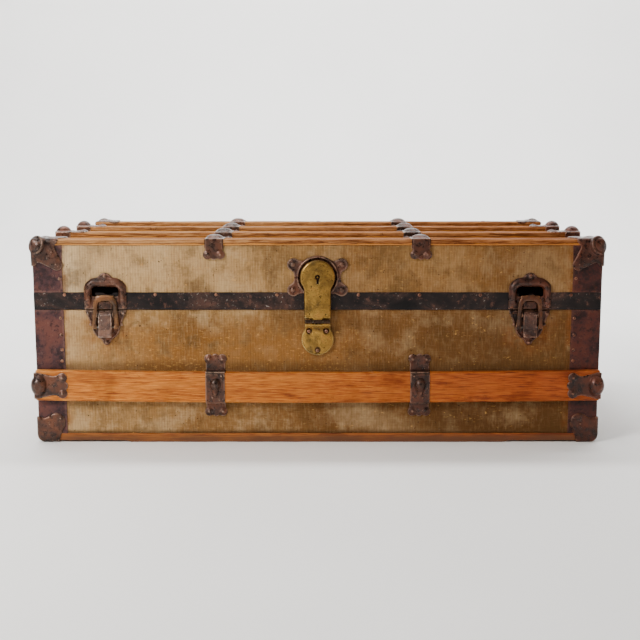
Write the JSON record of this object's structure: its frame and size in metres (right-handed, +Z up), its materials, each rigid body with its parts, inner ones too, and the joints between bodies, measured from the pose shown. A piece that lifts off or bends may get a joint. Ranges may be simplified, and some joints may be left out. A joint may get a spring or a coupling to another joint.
{
  "type": "steamer trunk",
  "caption": "Low canvas-covered travel trunk with wooden slats, iron corner fittings, hinged lid, draw bolts, brass hasp lock, folding lid stays, end handles and a lift-out tray.",
  "frame": {"origin": "centre of the footprint, on the floor the bottom slats stand on", "axes": "+X along the trunk to the right as seen from the front, -Y out of the front with the lock, +Z up"},
  "size_m": [0.971, 0.5738, 0.345],
  "materials": {
    "pine": "plain sawn boards, unfinished",
    "canvas": "worn ribbed cotton duck, stained and scuffed",
    "lining_paper": "aged plain lining paper",
    "binding_iron": "worn maroon-brown enamel over sheet iron",
    "slat_wood": "varnished hardwood, worn",
    "fitting_iron": "rusted stamped sheet iron",
    "steel": "dull bare steel",
    "brass": "tarnished and pitted brass",
    "handle_leather": "dark stitched harness leather",
    "nail_iron": "rusted domed nail heads",
    "band_iron": "black japanned sheet iron, rust at the wear marks",
    "tray_wood": "thin basswood boards",
    "pull_tape": "woven cotton tape"
  },
  "bodies": {
    "base": {"base_front_board": "pine", "base_back_board": "pine", "base_end_boards": "pine", "base_floor_board": "pine", "base_canvas": "canvas", "base_lining": "lining_paper", "base_corner_bindings": "binding_iron", "bottom_slats": "slat_wood", "front_slat": "slat_wood", "back_slat": "slat_wood", "slat_end_clamps": "fitting_iron", "slat_clamps": "fitting_iron", "base_corner_caps": "fitting_iron", "draw_bolt_plates": "fitting_iron", "draw_bolt_lever_pins": "steel", "lock_catch_plate": "brass", "lock_hinge_pin": "steel", "hinge_base_leaves": "fitting_iron", "hinge_pins": "steel", "left_handle_strap": "handle_leather", "right_handle_strap": "handle_leather", "handle_end_caps": "fitting_iron", "base_nails": "nail_iron", "tray_cleats": "pine", "stay_base_brackets": "steel"},
    "lid": {"lid_front_board": "pine", "lid_back_board": "pine", "lid_end_boards": "pine", "lid_top_board": "pine", "lid_canvas": "canvas", "lid_lining": "lining_paper", "lid_band": "band_iron", "lid_corner_bindings": "binding_iron", "top_slats": "slat_wood", "top_slat_clamps": "fitting_iron", "top_edge_clamps": "fitting_iron", "top_slat_end_clamps": "fitting_iron", "lid_corner_caps": "fitting_iron", "draw_bolt_keepers": "fitting_iron", "lock_ring_plate": "fitting_iron", "hinge_lid_leaves": "fitting_iron", "lid_nails": "nail_iron", "stay_lid_brackets": "steel"},
    "left_lever": {"left_draw_bolt_lever": "fitting_iron", "left_hook_pin": "steel"},
    "right_lever": {"right_draw_bolt_lever": "fitting_iron", "right_hook_pin": "steel"},
    "left_hook": {"left_draw_bolt_hook": "fitting_iron"},
    "right_hook": {"right_draw_bolt_hook": "fitting_iron"},
    "hasp": {"lock_hasp": "brass"},
    "bolt": {"lock_bolt": "steel"},
    "left_lower_arm": {"left_stay_lower_arm": "steel"},
    "left_upper_arm": {"left_stay_upper_arm": "steel"},
    "right_lower_arm": {"right_stay_lower_arm": "steel"},
    "right_upper_arm": {"right_stay_upper_arm": "steel"},
    "tray": {"tray_boards": "tray_wood", "tray_floor": "tray_wood", "tray_dividers": "tray_wood", "tray_tapes": "pull_tape"}
  },
  "joints": [
    {"name": "lid_hinge", "type": "hinge", "parent": "base", "child": "lid", "pos_m": [0, 0.27, 0.22], "axis": [-1, 0, 0], "range_deg": [0, 100]},
    {"name": "left_lever_pivot", "type": "hinge", "parent": "base", "child": "left_lever", "pos_m": [-0.342, -0.272, 0.212], "axis": [-1, 0, 0], "range_deg": [0, 150]},
    {"name": "left_hook_pivot", "type": "hinge", "parent": "left_lever", "child": "left_hook", "pos_m": [-0.342, -0.2704, 0.192], "axis": [-1, 0, 0], "range_deg": [-150, 0]},
    {"name": "right_lever_pivot", "type": "hinge", "parent": "base", "child": "right_lever", "pos_m": [0.342, -0.272, 0.212], "axis": [-1, 0, 0], "range_deg": [0, 150]},
    {"name": "right_hook_pivot", "type": "hinge", "parent": "right_lever", "child": "right_hook", "pos_m": [0.342, -0.2704, 0.192], "axis": [-1, 0, 0], "range_deg": [-150, 0]},
    {"name": "hasp_hinge", "type": "hinge", "parent": "base", "child": "hasp", "pos_m": [0, -0.278, 0.202], "axis": [1, 0, 0], "range_deg": [0, 165]},
    {"name": "lock_bolt_slide", "type": "slide", "parent": "hasp", "child": "bolt", "axis": [1, 0, 0], "range_m": [0, 0.005]},
    {"name": "left_stay_base_pivot", "type": "hinge", "parent": "base", "child": "left_lower_arm", "pos_m": [-0.4438, 0.10127, 0.19928], "axis": [-1, 0, 0], "range_deg": [0, 100]},
    {"name": "left_stay_elbow", "type": "hinge", "parent": "left_lower_arm", "child": "left_upper_arm", "pos_m": [-0.4418, -0.06747, 0.22], "axis": [-1, 0, 0], "range_deg": [-100, 0]},
    {"name": "right_stay_base_pivot", "type": "hinge", "parent": "base", "child": "right_lower_arm", "pos_m": [0.4438, 0.10127, 0.19928], "axis": [-1, 0, 0], "range_deg": [0, 100]},
    {"name": "right_stay_elbow", "type": "hinge", "parent": "right_lower_arm", "child": "right_upper_arm", "pos_m": [0.4418, -0.06747, 0.22], "axis": [-1, 0, 0], "range_deg": [-100, 0]},
    {"name": "tray_lift", "type": "slide", "parent": "base", "child": "tray", "axis": [0, 0, 1], "range_m": [0, 0.08]}
  ],
  "couplings": [
    {"joint": "left_hook_pivot", "follows": "left_lever_pivot", "ratio": -1},
    {"joint": "right_hook_pivot", "follows": "right_lever_pivot", "ratio": -1},
    {"joint": "left_stay_base_pivot", "follows": "lid_hinge", "ratio": 1},
    {"joint": "left_stay_elbow", "follows": "lid_hinge", "ratio": -1},
    {"joint": "right_stay_base_pivot", "follows": "lid_hinge", "ratio": 1},
    {"joint": "right_stay_elbow", "follows": "lid_hinge", "ratio": -1}
  ]
}
